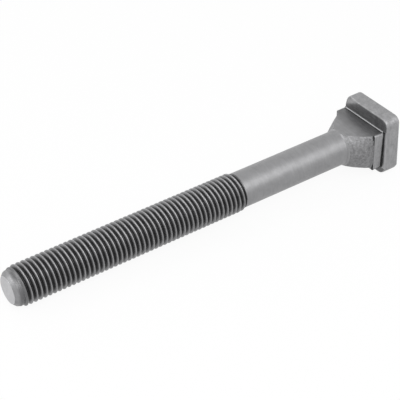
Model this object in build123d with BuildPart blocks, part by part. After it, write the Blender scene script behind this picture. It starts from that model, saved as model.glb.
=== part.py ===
from build123d import *
import os
import math

# T-slot bolt, forged in one piece, with its slot guide milled on two sides.
# Axis along X. The bearing face of the head lies at X = 0, the threaded tip
# points along +X, and the milled guide faces look along +Z and -Z.
# All sizes in millimetres.

# ---- driving dimensions ----
thread_d = 24.0            # major diameter of the thread, M24
bolt_length = 250.0        # from the bearing face to the tip
thread_length = 150.0      # from the tip
tip_flat_d = 16.4          # flat end left by the point chamfer
tip_angle = 45.0           # point chamfer, from the axis
lead_d = 20.4              # where the chamfer ends and the gentler lead begins
lead_angle = 20.0          # lead up to the full thread, from the axis
shank_d = 21.8             # plain shank, close to the pitch diameter
runout_angle = 30.0        # cone from the thread down to the shank
head_across = 40.0         # square head, across the flats
head_thickness = 10.2      # bearing face to outer end
head_corner_r = 6.0        # rounding of the four corners
head_edge_r = 1.1          # rounding of the forged rims
struck_top = 14.4          # one corner of the bearing face falls away: its extent along Y
struck_side = 7.6          # and along Z
struck_angle = 15.0        # how steeply it falls, from the bearing face
guide_width = 23.4         # across the milled faces, for a 24 mm slot
guide_shift = 0.5          # the milled faces sit this far off centre, toward -Z
guide_root_r = 0.8         # cutter radius where the guide meets the head
collar_width = 37.2        # forged collar under the head, along Y
collar_shift = 1.2         # the collar sits this far off centre, toward -Y
collar_depth = 6.9         # along the axis
collar_edge_r = 0.5        # rounding of the collar's front edges
neck_length = 21.4         # bearing face to the start of the flare
neck_start_d = 23.6        # flare where it meets the shank
neck_end_d = 42.0          # flare where it meets the collar, before trimming
neck_width = 33.6          # across the flattened sides of the flare
neck_blend_r = 8.0         # blend from the flare's cone to its flat sides
neck_step_angle = 50.0     # small shoulder between flare and shank

# ---- worked out from them ----
thread_r = thread_d / 2
shank_r = shank_d / 2
tip_flat_r = tip_flat_d / 2
lead_r = lead_d / 2
tip_length = (lead_r - tip_flat_r) / math.tan(math.radians(tip_angle))
lead_length = (thread_r - lead_r) / math.tan(math.radians(lead_angle))
thread_start = bolt_length - thread_length
runout_length = (thread_r - shank_r) / math.tan(math.radians(runout_angle))
neck_start_r = neck_start_d / 2
neck_end_r = neck_end_d / 2
step_length = (neck_start_r - shank_r) / math.tan(math.radians(neck_step_angle))
guide_half = guide_width / 2

os.makedirs("parts", exist_ok=True)

with BuildPart() as head:
    # square head with rounded corners and rims, its outer end at -X
    with BuildSketch(Plane.YZ.offset(-head_thickness)):
        RectangleRounded(head_across, head_across, head_corner_r)
    extrude(amount=head_thickness)

    # one corner of the bearing face falls away, as struck in the die
    crease = Vector(0, struck_top, struck_side)
    crease_foot = Vector(0, -head_across / 2, head_across / 2 - struck_side)
    fallen = Vector(1, 0, 0).rotate(Axis((0, 0, 0), crease), -struck_angle)
    with BuildSketch(Plane(crease_foot, crease, fallen)):
        Rectangle(4 * head_across, 4 * head_across)
    extrude(amount=head_thickness, mode=Mode.SUBTRACT)
    fillet(head.edges().filter_by(Axis.X, reverse=True), radius=head_edge_r)

with BuildPart() as t_slot_bolt:
    # flare from the round shank to the collar, turned first
    with BuildSketch(Plane.XZ):
        with BuildLine():
            Polyline(
                (collar_depth, 0),
                (neck_length + step_length, 0),
                (neck_length + step_length, shank_r),
                (neck_length, neck_start_r),
                (collar_depth, neck_end_r),
                close=True,
            )
        make_face()
    revolve(axis=Axis.X)

    # its two flat sides, blended into the cone
    with BuildSketch(Plane.YZ):
        Rectangle(neck_width, 2 * neck_end_d)
    extrude(amount=bolt_length / 2, mode=Mode.INTERSECT)
    fillet(t_slot_bolt.edges().filter_by(GeomType.HYPERBOLA), radius=neck_blend_r)

    # the two guide faces, milled flat
    with BuildSketch(Plane.YZ):
        with Locations((0, -guide_shift)):
            Rectangle(2 * neck_end_d, guide_width)
    extrude(amount=bolt_length / 2, mode=Mode.INTERSECT)

    # forged collar, milled flush with the guide faces and let into the head
    with BuildSketch(Plane.YZ.offset(-head_edge_r)):
        with Locations((-collar_shift, -guide_shift)):
            Rectangle(collar_width, guide_width)
    extrude(amount=collar_depth + head_edge_r)
    front_edges = t_slot_bolt.edges().filter_by(Axis.Z).group_by(Axis.X)[-1].sort_by(Axis.Y)
    fillet([front_edges[0], front_edges[-1]], radius=collar_edge_r)

    add(head.part)

    # cutter radius where each guide face meets the bearing face
    collar_end = Plane((0, collar_width / 2 - collar_shift, -guide_shift), (1, 0, 0), (0, -1, 0))
    with BuildSketch(collar_end):
        with BuildLine():
            Line((0, guide_half + guide_root_r), (-head_edge_r, guide_half + guide_root_r))
            Line((-head_edge_r, guide_half + guide_root_r), (-head_edge_r, 0))
            Line((-head_edge_r, 0), (guide_root_r, 0))
            Line((guide_root_r, 0), (guide_root_r, guide_half))
            RadiusArc((guide_root_r, guide_half), (0, guide_half + guide_root_r), guide_root_r)
        make_face()
        mirror(about=Plane.XZ)
    extrude(amount=collar_width)

    # shank and threaded length, turned about the axis
    with BuildSketch(Plane.XZ):
        with BuildLine():
            Polyline(
                (collar_depth, 0),
                (bolt_length, 0),
                (bolt_length, tip_flat_r),
                (bolt_length - tip_length, lead_r),
                (bolt_length - tip_length - lead_length, thread_r),
                (thread_start, thread_r),
                (thread_start - runout_length, shank_r),
                (collar_depth, shank_r),
                close=True,
            )
        make_face()
    revolve(axis=Axis.X)

t_slot_bolt.part.label = "t_slot_bolt"
export_step(t_slot_bolt.part, "parts/t_slot_bolt.step")
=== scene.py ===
import logging
import math
from dataclasses import dataclass, field
from enum import Enum
from typing import Iterable

import bmesh
import bpy
from mathutils import Euler, Matrix, Vector, noise


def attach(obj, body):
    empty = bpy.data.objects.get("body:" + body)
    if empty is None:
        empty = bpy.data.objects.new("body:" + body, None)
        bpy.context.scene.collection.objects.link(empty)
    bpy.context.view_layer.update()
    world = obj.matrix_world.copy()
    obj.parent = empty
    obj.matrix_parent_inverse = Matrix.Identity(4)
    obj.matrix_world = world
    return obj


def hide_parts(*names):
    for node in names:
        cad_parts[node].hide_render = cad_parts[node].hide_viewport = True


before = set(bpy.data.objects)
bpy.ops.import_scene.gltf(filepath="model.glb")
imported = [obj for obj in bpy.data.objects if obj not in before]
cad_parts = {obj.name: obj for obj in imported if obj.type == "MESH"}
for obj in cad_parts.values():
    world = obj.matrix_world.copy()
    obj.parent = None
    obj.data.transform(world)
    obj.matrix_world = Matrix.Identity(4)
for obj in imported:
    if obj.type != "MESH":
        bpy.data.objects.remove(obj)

log = logging.getLogger("t_slot_bolt")

MM = 0.001
TINY = 1e-6
NODE = "t_slot_bolt"
BODY = "root"

# steps of a rounded edge in degrees, and where one surface gives way to the next on it
TURN_UP = (18, 36, 54, 72, 90)
TURN_DOWN = (72, 54, 36, 18, 0)
MID_TURN = 45

Pair = tuple[float, float]
Point = tuple[float, float, float]
Ring = list[int]
Socket = bpy.types.NodeSocket
Value = float | tuple[float, ...] | Socket  # what a node's input takes

WHITE = (1.0, 1.0, 1.0, 1.0)


class Zone(Enum):
    """The differently worked surfaces of the forging, and its painted shade, in material order."""

    FORGED = 0
    BEARING = 1
    GUIDE = 2
    ROOT = 3
    NECK = 4
    # painted shade: near black, in the collar's undercut and corners and under its heel
    GROOVE = 5
    SHANK = 6
    THREAD = 7
    CHAMFER = 8
    TIP = 9


# ==== the skin that every sub-assembly adds its rings to ====


@dataclass
class Skin:
    """One closed skin of vertices and faces, built ring by ring in millimetres."""

    verts: list[Point] = field(default_factory=list)
    faces: list[tuple[int, ...]] = field(default_factory=list)
    zones: list[int] = field(default_factory=list)

    def ring(self, points: Iterable[Point]) -> Ring:
        """Adds a closed ring of points.

        Args:
            points: the ring's points in order.

        Returns:
            The indices of the new vertices.
        """
        first = len(self.verts)
        self.verts.extend(points)
        return list(range(first, len(self.verts)))

    def face(self, corners: tuple[int, ...], zone: Zone) -> None:
        """Adds one face of the given zone."""
        self.faces.append(corners)
        self.zones.append(zone.value)

    def grow(self, last: Ring, points: Iterable[Point], zones: Zone | list[Zone]) -> Ring:
        """Adds a ring and joins it with quads to the one before.

        Args:
            last: the ring before.
            points: the new ring's points, as many as the last one has.
            zones: the zone of all the quads, or one for each.

        Returns:
            The indices of the new vertices.
        """
        ring = self.ring(points)
        count = len(ring)
        for i in range(count):
            j = (i + 1) % count
            zone = zones if isinstance(zones, Zone) else zones[i]
            self.face((last[i], last[j], ring[j], ring[i]), zone)
        return ring

    def zip_up(self, a: Ring, b: Ring, zone: Zone) -> None:
        """Joins two rings of different counts with triangles, in order of angle.

        Args:
            a: the first ring, its points in order of angle about the axis.
            b: the second ring, turning the same way.
            zone: the zone of the triangles.
        """
        angle_a = self._angles(a)
        angle_b = self._angles(b)
        i = j = 0
        while i < len(a) or j < len(b):
            next_a = angle_a[i + 1] if i < len(a) else math.inf
            next_b = angle_b[j + 1] if j < len(b) else math.inf
            here_a, here_b = a[i % len(a)], b[j % len(b)]
            if next_a <= next_b:
                self.face((here_a, a[(i + 1) % len(a)], here_b), zone)
                i += 1
            else:
                self.face((here_a, b[(j + 1) % len(b)], here_b), zone)
                j += 1

    def _angles(self, ring: Ring) -> list[float]:
        """Gives the angles of a ring's points about the axis.

        Args:
            ring: the ring, its points in order of angle.

        Returns:
            The angles, rising, with a full turn on the first at the end.
        """
        turn = 2 * math.pi
        angles = [math.atan2(self.verts[i][1], self.verts[i][2]) for i in ring]
        for k in range(1, len(angles)):
            while angles[k] < angles[k - 1] - TINY:
                angles[k] += turn
        return angles + [angles[0] + turn]

    def cap(self, ring: Ring, centre: Point, zone: Zone) -> None:
        """Closes a ring with a fan of triangles.

        Args:
            ring: the ring to close.
            centre: the point in the middle of the fan.
            zone: the zone of the triangles.
        """
        middle = len(self.verts)
        self.verts.append(centre)
        for i in range(len(ring)):
            self.face((ring[i], ring[(i + 1) % len(ring)], middle), zone)


# ==== head, guide and neck ====


class Stretch(Enum):
    """The stretches of a ring round the neck, by the surface that each runs over."""

    TOP = "top guide face"
    UPPER = "upper strip of a side"
    FLANK = "middle of a side"
    LOWER = "lower strip of a side"
    BOTTOM = "bottom guide face"


@dataclass(frozen=True)
class Column:
    """One column of the head's rings: its side of the bolt, its stretch, and how far along it."""

    side: int
    stretch: Stretch
    share: float


@dataclass(frozen=True)
class PaintedShadeWedge:
    """Wedge of painted shade where the collar meets the flare, widening away from the axis."""

    start: float
    height: float
    width: float

    def reach(self, out: float) -> float:
        """Gives how far the wedge reaches along the axis, at a distance out from it."""
        return self.width * (out - self.start) / self.height


@dataclass
class HeadAndNeck:
    """Square head, milled guide, collar and the flare that runs into the shank.

    Every ring runs from +Z towards +Y: the top guide face, the +Y side, the bottom guide
    face and the -Y side. Sizes are in millimetres, angles in degrees, and shares and fades
    in parts of the way down a side.
    """

    # the head: its corners are +Y+Z, +Y-Z, -Y-Z and -Y+Z, and on the +Y side its front rim is
    # wider from a little below the collar up to the guide's top
    head_half: float = 20.0
    head_thickness: float = 10.2
    corner_r: tuple[float, float, float, float] = (4.8, 7.0, 6.0, 4.8)
    rim_r: float = 1.1
    wide_rim_r: float = 1.9
    wide_rim_below: float = 1.0
    wide_rim_rise: Pair = (1.5, 3.0)

    # the corner of the bearing face that falls away beyond a crease through two (y, z)
    struck_foot: Pair = (-20.0, 12.4)
    struck_head: Pair = (-5.6, 20.0)
    struck_angle: float = 15.0
    struck_soft: float = 0.5

    # the guide: its two faces, the cutter radius at its foot, how much that flares the
    # collar, and how far the painted shade at its foot reaches
    guide_top: float = 11.2
    guide_bottom: float = 12.2
    root_r: float = 0.8
    root_flare: float = 0.5
    root_shade_reach: float = 1.3

    # the collar: how low and how far out on each side it stands, the +Y side's lean with
    # the part of it that is lost by the front, and the rounded edges
    collar_bottom: float = 14.4
    collar_plus: float = 17.4
    collar_minus: float = 19.97
    collar_lean: float = 0.035
    collar_lean_loss: float = 0.6
    collar_depth: float = 6.9
    collar_edge_r: float = 0.5
    collar_crown_r: float = 1.1
    collar_heel_r: float = 1.6
    crown_share: float = 0.18
    heel_share: float = 0.1

    # the undercut at the collar's foot: its depth, its width at the top and at the bottom,
    # and the shares over which it fades at both ends
    undercut: float = 0.55
    undercut_top: float = 0.9
    undercut_bottom: float = 1.7
    undercut_fades: Pair = (0.3, 0.15)

    # the flare: its radii at the collar and at its end, its flat sides, the small step down
    # to the shank, and the wedges of painted shade beside the collar
    neck_end_r: float = 21.0
    neck_start_r: float = 11.8
    neck_length: float = 21.4
    neck_half: float = 16.8
    strip_share: float = 0.14
    blend_r: float = 8.0
    step_angle: float = 50.0
    upper_corner: PaintedShadeWedge = PaintedShadeWedge(start=2.0, height=9.0, width=1.4)
    lower_corner: PaintedShadeWedge = PaintedShadeWedge(start=6.0, height=7.0, width=1.3)

    # how finely the rings are laid out, and how far behind its ring a row of the collar is
    flat_columns: int = 30
    strip_columns: int = 10
    side_columns: int = 28
    side_rows: int = 10
    face_rows: int = 12
    neck_rows: int = 30
    halvings: int = 32
    end_parts: tuple[float, ...] = (0.1, 0.22, 0.34, 0.46, 0.58, 0.7, 0.82, 0.92, 1.0)
    collar_rows: tuple[float, ...] = (0.95, 1.15, 1.35, 1.6, 1.85, 2.2, 2.8, 3.7, 4.6, 5.5)
    collar_half_row: float = 0.1

    def __post_init__(self) -> None:
        """Lists the columns that every ring shares."""
        runs = (
            (0, Stretch.TOP, self.flat_columns, False),
            (1, Stretch.UPPER, self.strip_columns, False),
            (1, Stretch.FLANK, self.side_columns, False),
            (1, Stretch.LOWER, self.strip_columns, True),
            (0, Stretch.BOTTOM, self.flat_columns, True),
            (-1, Stretch.LOWER, self.strip_columns, False),
            (-1, Stretch.FLANK, self.side_columns, True),
            (-1, Stretch.UPPER, self.strip_columns, True),
        )
        self.columns: list[Column] = []
        for side, stretch, count, backwards in runs:
            shares = [k / count for k in range(count)]
            self.columns += [Column(side, stretch, 1 - s if backwards else s) for s in shares]

    # ---- the flare's surface ----

    @property
    def flare_slope(self) -> float:
        """Angle of the flare's cone from the axis, in radians."""
        rise = self.neck_end_r - self.neck_start_r
        return math.atan(rise / (self.neck_length - self.collar_depth))

    def flare_r(self, x: float) -> float:
        """Gives the radius of the flare's cone at a place along the axis."""
        return self.neck_start_r + (self.neck_length - x) * math.tan(self.flare_slope)

    def step_end(self, shank_r: float) -> float:
        """Gives where the small step behind the flare comes down to a shank's radius."""
        fall = self.neck_start_r - shank_r
        return self.neck_length + fall / math.tan(math.radians(self.step_angle))

    def _outside(self, x: float, y: float, z: float) -> float:
        """Measures how far a point lies outside the flare with its flat, blended sides.

        Args:
            x: place along the axis.
            y: place across the flat sides.
            z: place across the guide faces.

        Returns:
            The distance, negative inside.
        """
        radius = math.hypot(y, z)
        cone = (radius - self.flare_r(x)) * math.cos(self.flare_slope)
        flat = abs(y) - self.neck_half
        lean = math.cos(self.flare_slope) * abs(y) / max(radius, TINY)
        a, b = cone + self.blend_r, flat + self.blend_r
        if a - lean * b > 0 and b - lean * a > 0:
            span = (a * a + b * b - 2 * lean * a * b) / max(1 - lean * lean, TINY)
            return math.sqrt(max(span, 0.0)) - self.blend_r
        return max(cone, flat)

    def _reach(self, x: float, start: Pair, way: Pair) -> float:
        """Finds how far the flare's surface lies from a point inside it.

        Args:
            x: place along the axis.
            start: the point's (y, z).
            way: the direction to look in, as (y, z).

        Returns:
            The distance.
        """
        near, far = 0.0, 2 * self.neck_end_r
        for _ in range(self.halvings):
            middle = (near + far) / 2
            if self._outside(x, start[0] + way[0] * middle, start[1] + way[1] * middle) > 0:
                far = middle
            else:
                near = middle
        return near

    def _edges(self, x: float) -> Pair:
        """Gives half the width of the top and the bottom guide face at a place."""
        top = self._reach(x, (0.0, self.guide_top), (1.0, 0.0))
        return top, self._reach(x, (0.0, -self.guide_bottom), (1.0, 0.0))

    def _way_down(self, column: Column) -> float:
        """Gives how far round the flare's side a column lies.

        Args:
            column: a column of one of the two sides.

        Returns:
            The share of the side's angle, from the top guide face to the bottom one.
        """
        if column.stretch is Stretch.UPPER:
            return self.strip_share * column.share
        if column.stretch is Stretch.LOWER:
            return 1 - self.strip_share * column.share
        return self.strip_share + (1 - 2 * self.strip_share) * column.share

    def neck_section(self, x: float) -> list[Point]:
        """Gives the points of the flare's section.

        Args:
            x: place along the axis.

        Returns:
            One point for each column.
        """
        top, bottom = self._edges(x)
        first = math.atan2(top, self.guide_top)
        last = math.pi - math.atan2(bottom, self.guide_bottom)
        points: list[Point] = []
        for column in self.columns:
            if column.stretch is Stretch.TOP:
                points.append((x, top * (2 * column.share - 1), self.guide_top))
            elif column.stretch is Stretch.BOTTOM:
                points.append((x, bottom * (2 * column.share - 1), -self.guide_bottom))
            else:
                angle = first + self._way_down(column) * (last - first)
                way = (column.side * math.sin(angle), math.cos(angle))
                reach = self._reach(x, (0.0, 0.0), way)
                points.append((x, way[0] * reach, way[1] * reach))
        return points

    # ---- the collar's sections ----

    def _undercut_width(self, z: float) -> float:
        """Gives how far along the axis the undercut at the collar's foot reaches.

        Args:
            z: height on the collar's sides.

        Returns:
            The distance from the bearing face.
        """
        down = (self.guide_top - z) / (self.guide_top + self.collar_bottom)
        widening = self.undercut_bottom - self.undercut_top
        return self.undercut_top + widening * min(max(down, 0.0), 1.0)

    def _undercut_depth(self, x: float, z: float, share: float) -> float:
        """Gives how deep the undercut is at a point of the collar's side.

        Args:
            x: place along the axis.
            z: height.
            share: how far down the side the point lies.

        Returns:
            The depth, nought beyond the undercut and at both ends of the side.
        """
        inside = min(x / self._undercut_width(z), 1.0)
        fade = min(share / self.undercut_fades[0], 1.0, (1 - share) / self.undercut_fades[1])
        return self.undercut * math.sin(math.pi * inside) * math.sin(math.pi * fade / 2)

    def _collar_side(self, column: Column, widths: Pair, ends: Pair, levels: Pair) -> Pair:
        """Gives a point on a side of the collar, before the undercut.

        Args:
            column: the point's column.
            widths: half the width of the top and the bottom guide face.
            ends: how far out the side stands at its top and at its foot.
            levels: the heights of the collar's top and bottom.

        Returns:
            The point's distance out from the middle, and its height.
        """
        (high, low), (top, bottom) = ends, levels
        crown, heel, share = self.collar_crown_r, self.collar_heel_r, column.share
        if column.stretch is Stretch.UPPER:
            return widths[0] + (high - crown - widths[0]) * share, top
        if column.stretch is Stretch.LOWER:
            return widths[1] + (low - heel - widths[1]) * share, bottom
        if share < self.crown_share:
            turn = share / self.crown_share * math.pi / 2
            return high - crown + crown * math.sin(turn), top - crown + crown * math.cos(turn)
        if share > 1 - self.heel_share:
            turn = (1 - share) / self.heel_share * math.pi / 2
            return low - heel + heel * math.sin(turn), bottom + heel - heel * math.cos(turn)
        down = (share - self.crown_share) / (1 - self.crown_share - self.heel_share)
        return high + (low - high) * down, top - crown + (bottom - top + crown + heel) * down

    def collar_section(self, x: float, lift: float, draw_in: float = 0.0) -> list[Point]:
        """Gives the points of the collar's section.

        Args:
            x: place along the axis.
            lift: how far the cutter radius lifts the guide faces there.
            draw_in: how far the two sides are drawn in by their rounded front edges.

        Returns:
            One point for each column.
        """
        widths = self._edges(self.collar_depth)
        top, bottom = self.guide_top + lift, -self.collar_bottom - lift
        lean = self.collar_lean * (1 - self.collar_lean_loss * x / self.collar_depth)
        plus = self.collar_plus + self.root_flare * lift - draw_in
        minus = self.collar_minus - draw_in
        ends = {1: (plus + lean * top, plus + lean * bottom), -1: (minus, minus)}
        points: list[Point] = []
        for column in self.columns:
            if column.stretch is Stretch.TOP:
                points.append((x, widths[0] * (2 * column.share - 1), top))
            elif column.stretch is Stretch.BOTTOM:
                points.append((x, widths[1] * (2 * column.share - 1), bottom))
            else:
                y, z = self._collar_side(column, widths, ends[column.side], (top, bottom))
                if column.stretch is Stretch.FLANK:
                    y -= self._undercut_depth(x, z, column.share)
                points.append((x, column.side * y, z))
        return points

    # ---- the head's outline ----

    def _corner(self, y: float, z: float) -> float:
        """Gives the rounding of the head's corner nearest to a point.

        Args:
            y: the point's place across, of which only the sign counts.
            z: its height, of which only the sign counts.

        Returns:
            The corner's radius.
        """
        if z >= 0:
            return self.corner_r[0] if y >= 0 else self.corner_r[3]
        return self.corner_r[1] if y >= 0 else self.corner_r[2]

    def outline(self, insets: list[float], foot: list[Point]) -> list[Pair]:
        """Gives the head's outline, moved inwards.

        Args:
            insets: how far inwards each column lies, square to the outline.
            foot: the foot of the guide on the bearing face, whose heights the sides share.

        Returns:
            The outline's points as (y, z).
        """
        half = self.head_half
        low_top, low_bottom = self.guide_top + self.root_r, self.collar_bottom + self.root_r
        points: list[Pair] = []
        for column, inset, (_, _, foot_z) in zip(self.columns, insets, foot):
            up = 1 if column.stretch in (Stretch.TOP, Stretch.UPPER) else -1
            if column.side == 0:
                y0 = -(half - self._corner(-1, up))
                y1 = half - self._corner(1, up)
                points.append((y0 + (y1 - y0) * column.share, up * (half - inset)))
            elif column.stretch is Stretch.FLANK:
                points.append((column.side * (half - inset), foot_z))
            else:
                r = self._corner(column.side, up)
                rest = half - r - (low_top if up > 0 else low_bottom)
                arc = r * math.pi / 2
                along = column.share * (arc + rest)
                turn = min(along / r, math.pi / 2)
                y = half - r + (r - inset) * math.sin(turn)
                z = half - r + (r - inset) * math.cos(turn) - max(along - arc, 0.0)
                points.append((column.side * y, up * z))
        return points

    def _depth_in(self, y: float, z: float) -> float:
        """Measures how far a point lies inside the head's outline.

        Args:
            y: the point's place across.
            z: its height.

        Returns:
            The distance, negative outside.
        """
        r = self._corner(y, z)
        across, up = abs(y) - (self.head_half - r), abs(z) - (self.head_half - r)
        return r - math.hypot(max(across, 0.0), max(up, 0.0)) - min(max(across, up), 0.0)

    def _rim(self, y: float, z: float) -> float:
        """Gives the rounding of the front rim, which is wider beside the collar on the +Y side.

        Args:
            y: place across.
            z: height.

        Returns:
            The rim's radius.
        """
        if y < 0:
            return self.rim_r
        from_top = (self.guide_top - z) / self.wide_rim_rise[0]
        from_foot = (z + self.collar_bottom + self.wide_rim_below) / self.wide_rim_rise[1]
        near = max(min(from_top, from_foot, 1.0), 0.0)
        return self.rim_r + (self.wide_rim_r - self.rim_r) * near

    def _struck(self, y: float, z: float) -> float:
        """Gives how far the bearing face falls away at its one flattened corner.

        Args:
            y: place across.
            z: height.

        Returns:
            The fall along the axis, negative towards the head's outer end.
        """
        (y0, z0), (y1, z1) = self.struck_foot, self.struck_head
        length = math.hypot(y1 - y0, z1 - z0)
        beyond = ((z - z0) * (y1 - y0) - (y - y0) * (z1 - z0)) / length
        if beyond <= 0:
            return 0.0
        soft = self.struck_soft
        bent = beyond * beyond / (2 * soft) if beyond < soft else beyond - soft / 2
        return -bent * math.tan(math.radians(self.struck_angle))

    def _face_height(self, y: float, z: float) -> float:
        """Gives the place of the bearing face, with its rounded rim, along the axis.

        Args:
            y: place across.
            z: height.

        Returns:
            The place, nought where the face is flat.
        """
        depth = max(self._depth_in(y, z), 0.0)
        height = self._struck(y, z)
        rim = self._rim(y, z)
        if depth < rim:
            height += math.sqrt(rim**2 - (rim - depth) ** 2) - rim
        return height

    # ---- the zones ----

    def _root_zones(self, zone: Zone, flank: Zone) -> list[Zone]:
        """Gives the zones of a ring at the foot of the guide and collar.

        Args:
            zone: the zone beside the guide faces.
            flank: the zone beside the collar.

        Returns:
            One zone for each column.
        """
        return [flank if column.stretch is Stretch.FLANK else zone for column in self.columns]

    def _collar_zones(self, points: list[Point], back: float = 0.0) -> list[Zone]:
        """Gives the zones of a ring of the collar: milled faces, forged sides, painted shade.

        Args:
            points: the ring's points.
            back: how far behind the ring its faces lie.

        Returns:
            One zone for each column.
        """
        zones: list[Zone] = []
        for column, (x, _, z) in zip(self.columns, points):
            if column.stretch is Stretch.FLANK:
                # painted shade on the heel that faces down and in the undercut at the foot
                low = z < self.collar_heel_r - self.collar_bottom
                dark = low or x - back < self._undercut_width(z)
                zones.append(Zone.GROOVE if dark else Zone.FORGED)
            else:
                # painted shade along the foot of the guide faces
                zones.append(Zone.GROOVE if x - back < self.root_shade_reach else Zone.GUIDE)
        return zones

    def _neck_zones(self, points: list[Point]) -> list[Zone]:
        """Gives the zones of a ring of the flare: milled faces, forged sides, painted shade in the
        corners.

        Args:
            points: the ring's points.

        Returns:
            One zone for each column.
        """
        zones: list[Zone] = []
        for column, (x, _, z) in zip(self.columns, points):
            corner = self.upper_corner.reach(z) if z > 0 else self.lower_corner.reach(-z)
            if column.side == 0:
                zones.append(Zone.GUIDE)
            # painted shade in the corner beside the collar, on the +Y side only
            elif column.side > 0 and x - self.collar_depth < corner:
                zones.append(Zone.GROOVE)
            else:
                zones.append(Zone.NECK)
        return zones

    # ---- the surfaces ----

    def build(self, skin: Skin) -> Ring:
        """Adds the head, collar and neck to the skin.

        Args:
            skin: the skin to add to.

        Returns:
            The ring where the flare ends and the step to the shank begins.
        """
        foot = self.collar_section(0.0, self.root_r)
        foot = [(self._face_height(y, z), y, z) for _, y, z in foot]
        last = self._end_and_sides(skin, foot)
        last = self._bearing_face(skin, foot, last)
        last = self._collar(skin, last)
        for k in range(self.neck_rows + 1):
            x = self.collar_depth + (self.neck_length - self.collar_depth) * k / self.neck_rows
            points = self.neck_section(x)
            last = skin.grow(last, points, self._neck_zones(points))
        return last

    def _end_and_sides(self, skin: Skin, foot: list[Point]) -> Ring:
        """Adds the outer end, its rounded rim and the head's four sides.

        Args:
            skin: the skin to add to.
            foot: the foot of the guide on the bearing face.

        Returns:
            The ring at the front of the four sides.
        """
        rim, end, count = self.rim_r, -self.head_thickness, len(self.columns)
        inner = self.outline([rim] * count, foot)
        rings = [[(end, y * part, z * part) for y, z in inner] for part in self.end_parts]
        last = skin.ring(rings[0])
        skin.cap(last, (end, 0.0, 0.0), Zone.FORGED)
        for points in rings[1:]:
            last = skin.grow(last, points, Zone.FORGED)
        for degrees in TURN_UP:
            turn = math.radians(degrees)
            x = end + rim * (1 - math.cos(turn))
            edge = self.outline([rim * (1 - math.sin(turn))] * count, foot)
            last = skin.grow(last, [(x, y, z) for y, z in edge], Zone.FORGED)
        edge = self.outline([0.0] * count, foot)
        back = end + rim
        for k in range(1, self.side_rows + 1):
            part = k / self.side_rows
            points = [(back + (self._face_height(y, z) - back) * part, y, z) for y, z in edge]
            last = skin.grow(last, points, Zone.FORGED)
        return last

    def _bearing_face(self, skin: Skin, foot: list[Point], last: Ring) -> Ring:
        """Adds the rounded front rim and the bearing face, in to the foot of the guide.

        Args:
            skin: the skin to add to.
            foot: the foot of the guide on the bearing face.
            last: the ring at the front of the head's sides.

        Returns:
            The ring at the foot of the guide.
        """
        room = [self._rim(y, z) for _, y, z in foot]
        for i, (_, y, z) in enumerate(foot):
            if self.columns[i].stretch is Stretch.FLANK:
                room[i] = min(max(self._depth_in(y, z), 0.0), room[i])
        # beside the collar the bearing face takes the lighter cutter-radius finish, as painted
        # light
        face_zones = self._root_zones(Zone.BEARING, flank=Zone.ROOT)
        edge: list[Point] = []
        for degrees in TURN_DOWN:
            share = 1 - math.sin(math.radians(degrees))
            line = self.outline([r * share for r in room], foot)
            edge = [(self._face_height(y, z), y, z) for y, z in line]
            last = skin.grow(last, edge, face_zones if degrees < MID_TURN else Zone.FORGED)
        for k in range(1, self.face_rows + 1):
            part = k / self.face_rows
            points: list[Point] = []
            for (_, ya, za), (xb, yb, zb) in zip(edge, foot):
                y, z = ya + (yb - ya) * part, za + (zb - za) * part
                points.append((xb if k == self.face_rows else self._face_height(y, z), y, z))
            last = skin.grow(last, points, face_zones)
        return last

    def _collar(self, skin: Skin, last: Ring) -> Ring:
        """Adds the cutter radius, the guide faces beside the collar and the collar's sides.

        Args:
            skin: the skin to add to.
            last: the ring at the foot of the guide.

        Returns:
            The ring round the collar's front face.
        """
        for degrees in TURN_DOWN:
            turn = math.radians(degrees)
            x, lift = self.root_r * (1 - math.sin(turn)), self.root_r * (1 - math.cos(turn))
            zone = Zone.BEARING if degrees > MID_TURN else Zone.ROOT
            # beside the collar's sides the cutter radius is painted shade
            zones = self._root_zones(zone, flank=Zone.GROOVE)
            last = skin.grow(last, self.collar_section(x, lift), zones)
        for x in (*self.collar_rows, self.collar_depth - self.collar_edge_r):
            points = self.collar_section(x, 0.0)
            last = skin.grow(last, points, self._collar_zones(points, self.collar_half_row))
        for degrees in TURN_UP:
            turn = math.radians(degrees)
            x = self.collar_depth - self.collar_edge_r * (1 - math.sin(turn))
            points = self.collar_section(x, 0.0, self.collar_edge_r * (1 - math.cos(turn)))
            last = skin.grow(last, points, self._collar_zones(points))
        return last


# ==== shank, thread and tip ====


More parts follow.
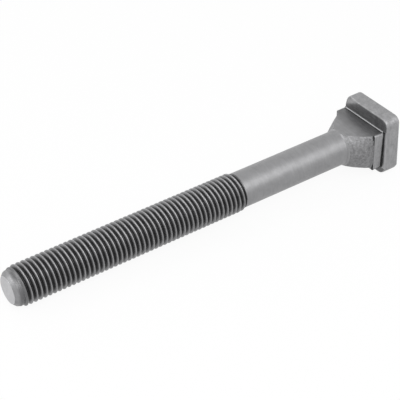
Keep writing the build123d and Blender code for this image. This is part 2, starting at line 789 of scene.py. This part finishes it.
@dataclass
class ShankAndThread:
    """Plain shank, right-hand thread and chamfered tip, all about the axis.

    Sizes are in millimetres and angles in degrees.
    """

    # shank and thread: half the width of a sharp root, and the rows of half a groove out from
    # its middle (root, bend, two on the flank, shoulder and crest), in shares of the pitch
    shank_r: float = 10.9
    thread_r: float = 12.0
    pitch: float = 3.0
    depth: float = 1.84
    flank_angle: float = 30.0
    root_share: float = 1 / 12
    profile: tuple[float, ...] = (0.045, 0.11, 0.215, 0.32, 0.42, 0.465)
    thread_start: float = 100.0
    length: float = 250.0

    # tip and run-out: the groove ends at an angle past the top of the bolt, a little back
    # from the run-out's cone, and fades over a part of a turn; faces nearer than the margin
    # to the turned surface belong to it
    tip_flat_r: float = 8.2
    lead_r: float = 10.2
    lead_angle: float = 20.0
    runout_angle: float = 30.0
    groove_end: float = 150.0
    groove_back: float = 0.3
    groove_fade: float = 0.12
    zone_margin: float = 0.6

    # how the skin is laid out: the thread's rows begin before its start and end short of the
    # tip, the circles of the chamfer and the softened edge are so far back from the tip and
    # out from its flat, and points that agree in so many decimals are one
    helix_before: float = 2.8
    helix_short: float = 1.9
    chamfer_edges: tuple[Pair, ...] = ((0.75, 0.75), (0.12, 0.14))
    tip_soft_edges: tuple[Pair, ...] = ((0.03, 0.02), (0.0, -0.16))
    tip_parts: tuple[float, ...] = (0.75, 0.5, 0.25, 0.08)
    around: int = 128
    shank_rows: int = 15
    same_digits: int = 5

    @property
    def runout(self) -> float:
        """Length of the cone from the full thread down to the shank."""
        return (self.thread_r - self.shank_r) / math.tan(math.radians(self.runout_angle))

    @property
    def groove_zero(self) -> float:
        """Place along the axis of the last groove's middle at the top of the bolt."""
        turned = self.pitch * self.groove_end / 360
        return self.thread_start - self.runout - self.groove_back + turned

    @property
    def chamfer_top(self) -> float:
        """Place where the tip's chamfer ends and the gentler lead begins."""
        return self.length - (self.lead_r - self.tip_flat_r)

    @property
    def lead_top(self) -> float:
        """Place where the lead reaches the full thread."""
        rise = self.thread_r - self.lead_r
        return self.chamfer_top - rise / math.tan(math.radians(self.lead_angle))

    def envelope(self, x: float) -> float:
        """Gives the radius that the threaded part is turned to before its groove.

        Args:
            x: place along the axis.

        Returns:
            The radius of the run-out cone, the full thread, the lead or the chamfer there.
        """
        cone = self.thread_r + (x - self.thread_start) * math.tan(math.radians(self.runout_angle))
        lead = self.thread_r - (x - self.lead_top) * math.tan(math.radians(self.lead_angle))
        chamfer = self.lead_r - (x - self.chamfer_top)
        return min(max(cone, self.shank_r), self.thread_r, lead, chamfer)

    def groove_depth(self, off: float) -> float:
        """Gives the depth of the thread's profile, with its edges and root broken a little.

        Args:
            off: distance along the axis from the middle of a groove.

        Returns:
            The depth below the crest.
        """
        root, bend, shoulder, crest = (self.pitch * self.profile[i] for i in (0, 1, 4, 5))
        off = abs(off)
        if off <= root:
            return self.depth
        if off >= crest:
            return 0.0
        slope = math.tan(math.radians(self.flank_angle))
        full = self.pitch * self.root_share + self.depth * slope
        at_bend, at_shoulder = (full - bend) / slope, (full - shoulder) / slope
        if off < bend:
            return self.depth + (at_bend - self.depth) * (off - root) / (bend - root)
        if off > shoulder:
            return at_shoulder * (crest - off) / (crest - shoulder)
        return (full - off) / slope

    def surface_r(self, x: float, angle: float) -> float:
        """Gives the radius of the threaded part.

        Args:
            x: place along the axis.
            angle: angle from +Z towards +Y, in radians.

        Returns:
            The radius there.
        """
        turn = angle / (2 * math.pi)
        middle = self.groove_zero - self.pitch * turn
        number = round((x - middle) / self.pitch)
        off = x - middle - number * self.pitch
        back = turn - number
        fade = (self.groove_end / 360 - back) / self.groove_fade
        fade = min(max(fade, 0.0), 1.0)
        fade = fade * fade * (3 - 2 * fade)
        outer = self.envelope(x)
        if x > self.lead_top:
            root = self.thread_r - self.depth
            fade *= (max(outer - root, 0.0) / self.depth) ** 2
            return outer - self.groove_depth(off) * fade
        return min(outer, self.thread_r - self.groove_depth(off) * fade) if fade > 0 else outer

    def _circle(self, x: float, r: float) -> list[Point]:
        """Gives the points of a circle about the axis."""
        angles = [2 * math.pi * i / self.around for i in range(self.around)]
        return [(x, r * math.sin(angle), r * math.cos(angle)) for angle in angles]

    def build(self, skin: Skin, step: Ring, start: float) -> None:
        """Adds the shank, the thread and the tip to the skin.

        Args:
            skin: the skin to add to.
            step: the ring where the flare ends.
            start: where the shank begins along the axis.
        """
        first, end = self.thread_start - self.helix_before, self.length - self.helix_short
        last = skin.ring(self._circle(start, self.shank_r))
        skin.zip_up(step, last, Zone.SHANK)
        for k in range(1, self.shank_rows + 1):
            x = start + (first - start) * k / self.shank_rows
            last = skin.grow(last, self._circle(x, self.shank_r), Zone.SHANK)
        self._thread(skin, first, end)
        self._tip(skin, end)

    def _helix_starts(self, first: float, end: float) -> list[float]:
        """Lists where the thread's rows cross the top of the bolt.

        Args:
            first: where the thread's part of the skin begins along the axis.
            end: where it ends.

        Returns:
            The places, from before the first to past the last by a pitch.
        """
        low = math.floor((first - self.groove_zero) / self.pitch) - 1
        high = math.ceil((end - self.groove_zero) / self.pitch) + 2
        shares = [-share for share in reversed(self.profile)] + list(self.profile)
        pitches = range(low, high + 1)
        return [self.groove_zero + self.pitch * (k + share) for k in pitches for share in shares]

    def _thread(self, skin: Skin, first: float, end: float) -> None:
        """Adds the thread, whose rows follow the helix and are held between two circles.

        Args:
            skin: the skin to add to.
            first: the place of the circle at the shank.
            end: the place of the circle at the chamfer.
        """
        made: list[Ring] = []
        for base in self._helix_starts(first, end):
            points: list[Point] = []
            for i in range(self.around + 1):
                angle = 2 * math.pi * i / self.around
                x = min(max(base - self.pitch * i / self.around, first), end)
                r = self.surface_r(x, angle)
                points.append((x, r * math.sin(angle), r * math.cos(angle)))
            made.append(skin.ring(points))
        for low, high in zip(made, made[1:]):
            for i in range(self.around):
                corners = (low[i], low[i + 1], high[i + 1], high[i])
                spots = [skin.verts[v] for v in corners]
                if len({tuple(round(c, self.same_digits) for c in spot) for spot in spots}) > 2:
                    middle = sum(x for x, _, _ in spots) / len(spots)
                    radius = sum(math.hypot(y, z) for _, y, z in spots) / len(spots)
                    skin.face(corners, self._thread_zone(middle, radius))

    def _thread_zone(self, x: float, radius: float) -> Zone:
        """Gives the zone of a face of the threaded part.

        Args:
            x: the face's place along the axis.
            radius: its distance from the axis.

        Returns:
            The zone.
        """
        margin = self.zone_margin
        if x < self.thread_start - self.runout - margin:
            return Zone.SHANK
        on_lead = x > self.lead_top + margin and self.envelope(x) - radius < margin
        return Zone.CHAMFER if on_lead else Zone.THREAD

    def _tip(self, skin: Skin, end: float) -> None:
        """Adds the chamfer and the flat end face with its softened edge.

        Args:
            skin: the skin to add to.
            end: the place of the circle where the thread's rows end.
        """
        last = skin.ring(self._circle(end, self.envelope(end)))
        # the softened edge takes the end face's lighter finish, as a painted highlight along it
        for edges, zone in ((self.chamfer_edges, Zone.CHAMFER), (self.tip_soft_edges, Zone.TIP)):
            for back, out in edges:
                circle = self._circle(self.length - back, self.tip_flat_r + out)
                last = skin.grow(last, circle, zone)
        for part in self.tip_parts:
            last = skin.grow(last, self._circle(self.length, self.tip_flat_r * part), Zone.TIP)
        skin.cap(last, (self.length, 0.0, 0.0), Zone.TIP)


# ==== finishes ====


@dataclass
class Wiring:
    """The nodes of a material or the world, with the few kinds that this script adds."""

    tree: bpy.types.NodeTree

    def node(self, kind: str, inputs: dict[str | int, Value]) -> bpy.types.Node:
        """Adds a shader node.

        Args:
            kind: the node's kind, without the word that all kinds begin with.
            inputs: the value of, or the link into, each input by its name or number.

        Returns:
            The node.
        """
        node = self.tree.nodes.new("ShaderNode" + kind)
        for name, value in inputs.items():
            self.put(value, node.inputs[name])
        return node

    def put(self, value: Value, target: Socket) -> None:
        """Sets an input to a value, or links it to an output.

        Args:
            value: a number, some numbers or another node's output.
            target: the input.
        """
        if isinstance(value, Socket):
            self.tree.links.new(value, target)
        else:
            target.default_value = value

    def maths(self, operation: str, first: Value, second: Value = 0.0) -> Socket:
        """Does one sum.

        Args:
            operation: what is done with the values.
            first: the first value.
            second: the second value, where the sum has two.

        Returns:
            The result.
        """
        node = self.node("Math", {0: first, 1: second})
        node.operation = operation
        return node.outputs[0]

    def spread(self, value: Socket, span: Pair, onto: Pair) -> Socket:
        """Maps a range of values onto another, held at both ends.

        Args:
            value: the value to map.
            span: the ends of its range.
            onto: what those ends become.

        Returns:
            The mapped value.
        """
        names = ("From Min", "From Max", "To Min", "To Max")
        inputs = {"Value": value} | dict(zip(names, span + onto))
        return self.node("MapRange", inputs).outputs["Result"]

    def speckle(self, place: Socket, stretch: Point, scale: float, kind: Pair) -> Socket:
        """Adds noise over stretched space.

        Args:
            place: the coordinates to read.
            stretch: how much they are stretched along each axis.
            scale: the noise's scale.
            kind: its detail and its roughness.

        Returns:
            The noise's value.
        """
        mapping = self.node("Mapping", {"Vector": place, "Scale": stretch})
        inputs = {"Scale": scale, "Detail": kind[0], "Roughness": kind[1]}
        texture = self.node("TexNoise", {"Vector": mapping.outputs["Vector"]} | inputs)
        return texture.outputs["Fac"]

    def bump(self, height: Socket, strength: float, distance: float) -> bpy.types.Node:
        """Adds a bump of a given strength and of a distance in millimetres."""
        inputs = {"Height": height, "Strength": strength, "Distance": distance * MM}
        return self.node("Bump", inputs)


class Measure(Enum):
    """What a ramp of shade is measured along."""

    ALONG = "along the bolt's axis"
    OUT = "out from the axis"


@dataclass(frozen=True)
class Ramp:
    """Painted light or shade: a change of shade between two distances, in millimetres, held beyond
    both.
    """

    measure: Measure
    span: Pair
    shares: Pair

    def shaded(self, wiring: Wiring, place: Socket, shade: Socket) -> Socket:
        """Paints light or shade onto a shade by its place on the bolt.

        Args:
            wiring: the finish's nodes.
            place: object coordinates.
            shade: the shade to change.

        Returns:
            The changed shade.
        """
        split = wiring.node("SeparateXYZ", {"Vector": place}).outputs
        distance = split["X"]
        if self.measure is Measure.OUT:
            across = wiring.maths("MULTIPLY", split["Y"], split["Y"])
            up = wiring.maths("MULTIPLY", split["Z"], split["Z"])
            distance = wiring.maths("SQRT", wiring.maths("ADD", across, up))
        span = (self.span[0] * MM, self.span[1] * MM)
        return wiring.maths("MULTIPLY", shade, wiring.spread(distance, span, self.shares))


# what the finishes share: detail and roughness of each noise, the middle part of a noise's
# values that is spread over a finish's range, the grain's share of the shade beside the
# mottle's, the blue against the red and green, and the heights of the bumps in millimetres
MOTTLE: Pair = (6.0, 0.6)
GRAIN: Pair = (4.0, 0.55)
PITS: Pair = (5.0, 0.65)
EVEN: Point = (1.0, 1.0, 1.0)
MIDDLE: Pair = (0.3, 0.7)
GRAIN_SHARE = 0.4
COOLNESS = 1.02
PIT_HEIGHT = 0.3
GRAIN_HEIGHT = 0.1


@dataclass(frozen=True)
class SteelFinish:
    """How one surface of the tempered steel looks; some finishes also carry painted light or
    shade.

    The shade runs from dark to light and the roughness between two values. The grain is
    how dense its noise is along each axis.
    """

    name: str
    shade: Pair
    roughness: Pair
    mottle_scale: float
    grain: Point
    grain_bump: float
    pit_scale: float
    pit_bump: float
    ramps: tuple[Ramp, ...] = ()
    metallic: float = 0.9

    def make(self) -> bpy.types.Material:
        """Builds the node material of this finish.

        Returns:
            The new material.
        """
        material = bpy.data.materials.new(self.name)
        material.use_nodes = True
        wiring = Wiring(material.node_tree)
        steel = material.node_tree.nodes["Principled BSDF"].inputs
        steel["Metallic"].default_value = self.metallic
        place = wiring.node("TexCoord", {}).outputs["Object"]
        mottle = wiring.speckle(place, EVEN, self.mottle_scale, MOTTLE)
        grain = wiring.speckle(place, self.grain, 1.0, GRAIN)
        pits = wiring.speckle(place, EVEN, self.pit_scale, PITS)

        mottle_part = wiring.maths("MULTIPLY", mottle, 1.0 - GRAIN_SHARE)
        grain_part = wiring.maths("MULTIPLY", grain, GRAIN_SHARE)
        both = wiring.maths("ADD", mottle_part, grain_part)
        shade = wiring.spread(both, MIDDLE, self.shade)
        for ramp in self.ramps:
            shade = ramp.shaded(wiring, place, shade)
        cool = wiring.maths("MULTIPLY", shade, COOLNESS)
        colour = wiring.node("CombineColor", {"Red": shade, "Green": shade, "Blue": cool})
        wiring.put(colour.outputs["Color"], steel["Base Color"])
        wiring.put(wiring.spread(pits, MIDDLE, self.roughness), steel["Roughness"])

        coarse = wiring.bump(pits, self.pit_bump, PIT_HEIGHT)
        fine = wiring.bump(grain, self.grain_bump, GRAIN_HEIGHT)
        wiring.put(coarse.outputs["Normal"], fine.inputs["Normal"])
        wiring.put(fine.outputs["Normal"], steel["Normal"])
        return material


FINISHES: dict[Zone, SteelFinish] = {
    Zone.FORGED: SteelFinish(
        name="forged_skin", shade=(0.225, 0.375), roughness=(0.40, 0.64), mottle_scale=260.0,
        grain=(900.0, 900.0, 160.0), grain_bump=0.5, pit_scale=900.0, pit_bump=0.5,
    ),
    # darker than the forged skin; the ramp paints light onto the rounded rim and the struck
    # corner, where the face falls back
    Zone.BEARING: SteelFinish(
        name="bearing_face", shade=(0.09, 0.21), roughness=(0.40, 0.60), mottle_scale=240.0,
        grain=(400.0, 160.0, 900.0), grain_bump=0.4, pit_scale=900.0, pit_bump=0.3,
        ramps=(Ramp(Measure.ALONG, span=(-0.25, -0.03), shares=(1.9, 1.0)),),
    ),
    # the ramp paints shade onto the guide faces, darker towards the head
    Zone.GUIDE: SteelFinish(
        name="milled_guide", shade=(0.205, 0.30), roughness=(0.32, 0.48), mottle_scale=200.0,
        grain=(1800.0, 120.0, 400.0), grain_bump=0.35, pit_scale=800.0, pit_bump=0.15,
        ramps=(Ramp(Measure.ALONG, span=(7.0, 15.0), shares=(0.66, 1.02)),),
    ),
    Zone.ROOT: SteelFinish(
        name="cutter_radius", shade=(0.30, 0.38), roughness=(0.37, 0.53), mottle_scale=200.0,
        grain=(400.0, 120.0, 400.0), grain_bump=0.2, pit_scale=800.0, pit_bump=0.15,
    ),
    Zone.NECK: SteelFinish(
        name="forged_neck", shade=(0.12, 0.33), roughness=(0.45, 0.65), mottle_scale=700.0,
        grain=(900.0, 900.0, 900.0), grain_bump=1.0, pit_scale=600.0, pit_bump=1.0,
    ),
    # painted shade: near black, in the undercut and cutter radius at the collar's foot, along the
    # guide faces' foot, under the heel and in the wedges beside the collar
    Zone.GROOVE: SteelFinish(
        name="painted_shade_corner", shade=(0.02, 0.05), roughness=(0.50, 0.70), mottle_scale=300.0,
        grain=(500.0, 500.0, 500.0), grain_bump=0.4, pit_scale=900.0, pit_bump=0.4,
    ),
    Zone.SHANK: SteelFinish(
        name="turned_shank", shade=(0.235, 0.305), roughness=(0.39, 0.49), mottle_scale=160.0,
        grain=(1500.0, 160.0, 160.0), grain_bump=0.2, pit_scale=700.0, pit_bump=0.12,
    ),
    # the first ramp paints shade into the grooves, darker towards the root; the second paints a
    # highlight along the crests
    Zone.THREAD: SteelFinish(
        name="cut_thread", shade=(0.20, 0.29), roughness=(0.32, 0.48), mottle_scale=200.0,
        grain=(120.0, 500.0, 500.0), grain_bump=0.2, pit_scale=800.0, pit_bump=0.12,
        ramps=(
            Ramp(Measure.OUT, span=(10.4, 11.6), shares=(0.145, 0.96)),
            Ramp(Measure.OUT, span=(11.7, 11.95), shares=(1.0, 1.16)),
        ),
    ),
    # the ramp paints shade onto the lead, darker away from the tip
    Zone.CHAMFER: SteelFinish(
        name="turned_chamfer", shade=(0.225, 0.32), roughness=(0.40, 0.52), mottle_scale=300.0,
        grain=(1500.0, 160.0, 160.0), grain_bump=0.25, pit_scale=800.0, pit_bump=0.2,
        ramps=(Ramp(Measure.ALONG, span=(247.0, 248.3), shares=(0.56, 0.97)),),
    ),
    Zone.TIP: SteelFinish(
        name="sawn_end", shade=(0.42, 0.56), roughness=(0.40, 0.52), mottle_scale=160.0,
        grain=(100.0, 900.0, 200.0), grain_bump=0.25, pit_scale=700.0, pit_bump=0.1,
    ),
}


# ==== the bolt ====


@dataclass
class TSlotBolt:
    """The whole bolt, forged in one piece.

    Points closer than the weld are one, and slivers below their size are dissolved, both
    in millimetres. Edges sharper than the sharp angle, in degrees, stay crisp.
    """

    head: HeadAndNeck = field(default_factory=HeadAndNeck)
    shank: ShankAndThread = field(default_factory=ShankAndThread)
    weld: float = 0.004
    sliver: float = 0.002
    sharp_angle: float = 38.0
    unevenness: float = 0.16
    swell_scale: float = 190.0
    ripple_scale: float = 520.0
    swell_share: float = 0.7

    def build(self) -> bpy.types.Object:
        """Builds and dresses the bolt.

        Returns:
            The bolt's object, riding on the frame.
        """
        skin = Skin()
        step = self.head.build(skin)
        self.shank.build(skin, step, self.head.step_end(self.shank.shank_r))
        mesh = bpy.data.meshes.new("t_slot_bolt_skin")
        self._fill(mesh, skin)
        for zone in Zone:
            mesh.materials.append(FINISHES[zone].make())
        bolt = bpy.data.objects.new("forged_bolt", mesh)
        bpy.context.scene.collection.objects.link(bolt)
        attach(bolt, BODY)
        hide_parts(NODE)
        return bolt

    def _fill(self, mesh: bpy.types.Mesh, skin: Skin) -> None:
        """Turns the skin into a clean, smooth-shaded mesh in metres.

        Args:
            mesh: the mesh to fill.
            skin: the skin to take.
        """
        work = bmesh.new()
        verts = [work.verts.new((x * MM, y * MM, z * MM)) for x, y, z in skin.verts]
        for corners, zone in zip(skin.faces, skin.zones):
            made = work.faces.new([verts[i] for i in corners])
            made.material_index = zone
            made.smooth = True
        bmesh.ops.remove_doubles(work, verts=work.verts, dist=self.weld * MM)
        bmesh.ops.dissolve_degenerate(work, dist=self.sliver * MM, edges=work.edges)
        loose = [vert for vert in work.verts if not vert.link_faces]
        bmesh.ops.delete(work, geom=loose, context="VERTS")
        bmesh.ops.recalc_face_normals(work, faces=work.faces)
        self._roughen(work)
        sharp = math.radians(self.sharp_angle)
        for edge in work.edges:
            edge.smooth = not (edge.is_manifold and edge.calc_face_angle(0.0) > sharp)
        open_edges = sum(1 for edge in work.edges if not edge.is_manifold)
        log.info("skin: %d faces, %d open edges", len(work.faces), open_edges)
        work.to_mesh(mesh)
        work.free()

    def _roughen(self, work: bmesh.types.BMesh) -> None:
        """Gives the forged surfaces their slight hammered unevenness, always inwards.

        Args:
            work: the mesh to change, in metres.
        """
        forged = Zone.FORGED.value
        work.normal_update()
        moves: list[tuple[bmesh.types.BMVert, Vector]] = []
        for vert in work.verts:
            if all(face.material_index == forged for face in vert.link_faces):
                swell = 0.5 + 0.5 * noise.noise(vert.co * self.swell_scale)
                ripple = 0.5 + 0.5 * noise.noise(vert.co * self.ripple_scale)
                both = self.swell_share * swell + (1 - self.swell_share) * ripple
                moves.append((vert, vert.normal * (-self.unevenness * both * MM)))
        for vert, move in moves:
            vert.co += move


# ==== studio ====


@dataclass(frozen=True)
class Softbox:
    """A square soft lamp: where it hangs, what it points at, its side in metres, its watts."""

    name: str
    place: Point
    aim: Point
    size: float
    power: float

    def hang(self) -> None:
        """Adds the lamp to the scene."""
        data = bpy.data.lights.new(self.name, "AREA")
        data.shape = "SQUARE"
        data.size = self.size
        data.energy = self.power
        lamp = bpy.data.objects.new(self.name, data)
        lamp.location = self.place
        lamp.rotation_mode = "QUATERNION"
        way = Vector(self.aim) - Vector(self.place)
        lamp.rotation_quaternion = way.to_track_quat("-Z", "Y")
        bpy.context.scene.collection.objects.link(lamp)


SOFTBOXES = (
    Softbox("key_softbox", (0.35, 0.75, 1.05), (0.12, 0.0, 0.0), 0.9, 8.2),
    Softbox("back_softbox", (-0.6, 0.85, 0.81), (0.12, 0.0, 0.0), 0.9, 3.1),
    Softbox("end_softbox", (1.2, -0.28, 0.65), (0.2, 0.0, 0.0), 0.7, 4.1),
    Softbox("top_softbox", (0.42, -0.5, 0.8), (0.245, 0.0, 0.0), 0.5, 0.7),
    Softbox("far_softbox", (0.12, -1.1, 0.22), (0.2, 0.0, 0.0), 0.8, 1.9),
)


@dataclass
class Studio:
    """Pale floor under the lying bolt, soft lamps and the camera. Metres and degrees.

    The floor's white is the share of plain white that it shows; the rest is its own
    shading, which keeps the bolt's shadow.
    """

    floor_size: float = 6.0
    floor_gap: float = 0.00005
    under_rim: Point = (-0.0011, 0.0, -0.0200)
    under_tip: Point = (0.2428, 0.0, -0.0121)
    floor_grey: float = 0.76
    floor_roughness: float = 0.9
    floor_specular: float = 0.1
    floor_white: float = 0.93
    world_light: float = 0.66
    lens: float = 125.92
    sensor: float = 36.0
    clip: Pair = (0.05, 20.0)
    camera_place: Point = (0.47775, 0.54725, 0.48552)
    camera_turn: Point = (53.5767, 1.8375, 145.7279)

    def build(self) -> None:
        """Sets up the floor, the lamps, the world and the camera."""
        self._floor()
        for softbox in SOFTBOXES:
            softbox.hang()
        self._world()
        self._camera()
        bpy.context.scene.view_settings.view_transform = "Standard"

    def _floor(self) -> None:
        """Lays the floor just under the head's lower rim and the end of the thread."""
        rim, tip = Vector(self.under_rim), Vector(self.under_tip)
        along, side = (tip - rim).normalized(), Vector((0.0, 1.0, 0.0))
        middle = rim - along.cross(side) * self.floor_gap
        signs = ((-1, -1), (1, -1), (1, 1), (-1, 1))
        half = self.floor_size / 2
        corners = [middle + (along * a + side * b) * half for a, b in signs]
        mesh = bpy.data.meshes.new("floor")
        mesh.from_pydata(corners, [], [(0, 1, 2, 3)])
        mesh.materials.append(self._pale_floor())
        floor = bpy.data.objects.new("floor", mesh)
        bpy.context.scene.collection.objects.link(floor)

    def _pale_floor(self) -> bpy.types.Material:
        """Makes the floor's material, white to the rays that see the background.

        Returns:
            The new material.
        """
        material = bpy.data.materials.new("pale_floor")
        material.use_nodes = True
        wiring = Wiring(material.node_tree)
        pale = material.node_tree.nodes["Principled BSDF"]
        grey = self.floor_grey
        pale.inputs["Base Color"].default_value = (grey, grey, grey, 1.0)
        pale.inputs["Roughness"].default_value = self.floor_roughness
        pale.inputs["Specular IOR Level"].default_value = self.floor_specular
        white = wiring.node("Emission", {"Color": WHITE})
        self._show_white(wiring, self.floor_white, pale, white, "Material Output")
        return material

    def _world(self) -> None:
        """Sets a soft even world, white to the rays that see the background."""
        world = bpy.data.worlds.new("soft_world")
        bpy.context.scene.world = world
        world.use_nodes = True
        wiring = Wiring(world.node_tree)
        soft = world.node_tree.nodes["Background"]
        soft.inputs["Color"].default_value = WHITE
        soft.inputs["Strength"].default_value = self.world_light
        white = wiring.node("Background", {"Color": WHITE, "Strength": 1.0})
        self._show_white(wiring, 1.0, soft, white, "World Output")

    @staticmethod
    def _show_white(
        wiring: Wiring, share: float, plain: bpy.types.Node, white: bpy.types.Node, output: str
    ) -> None:
        """Shows white to rays that are seen, mirrored or passed through, and lights with the rest.

        Args:
            wiring: the nodes of the floor or the world.
            share: how much of the white those rays see.
            plain: the shader that the other rays meet.
            white: the shader of plain white.
            output: the name of the output node.
        """
        rays = wiring.node("LightPath", {}).outputs
        mirrored = wiring.maths("MAXIMUM", rays["Is Glossy Ray"], rays["Is Transmission Ray"])
        seen = wiring.maths("MAXIMUM", rays["Is Camera Ray"], mirrored)
        shown = wiring.maths("MULTIPLY", seen, share)
        mix = wiring.node("MixShader", {"Fac": shown, 1: plain.outputs[0], 2: white.outputs[0]})
        wiring.put(mix.outputs["Shader"], wiring.tree.nodes[output].inputs["Surface"])

    def _camera(self) -> None:
        """Places the camera that looks down along the bolt from its threaded end."""
        data = bpy.data.cameras.new("camera")
        data.sensor_width = self.sensor
        data.lens = self.lens
        data.clip_start, data.clip_end = self.clip
        turn = Euler([math.radians(angle) for angle in self.camera_turn])
        camera = bpy.data.objects.new("camera", data)
        camera.matrix_world = Matrix.LocRotScale(Vector(self.camera_place), turn, None)
        bpy.context.scene.collection.objects.link(camera)
        bpy.context.scene.camera = camera


def main() -> None:
    """Builds the bolt and its studio."""
    logging.basicConfig(level=logging.INFO, format="%(name)s: %(message)s")
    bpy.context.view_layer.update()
    bolt = TSlotBolt().build()
    log.info("%s: %d faces", bolt.name, len(bolt.data.polygons))
    Studio().build()


if __name__ == "__main__":
    main()
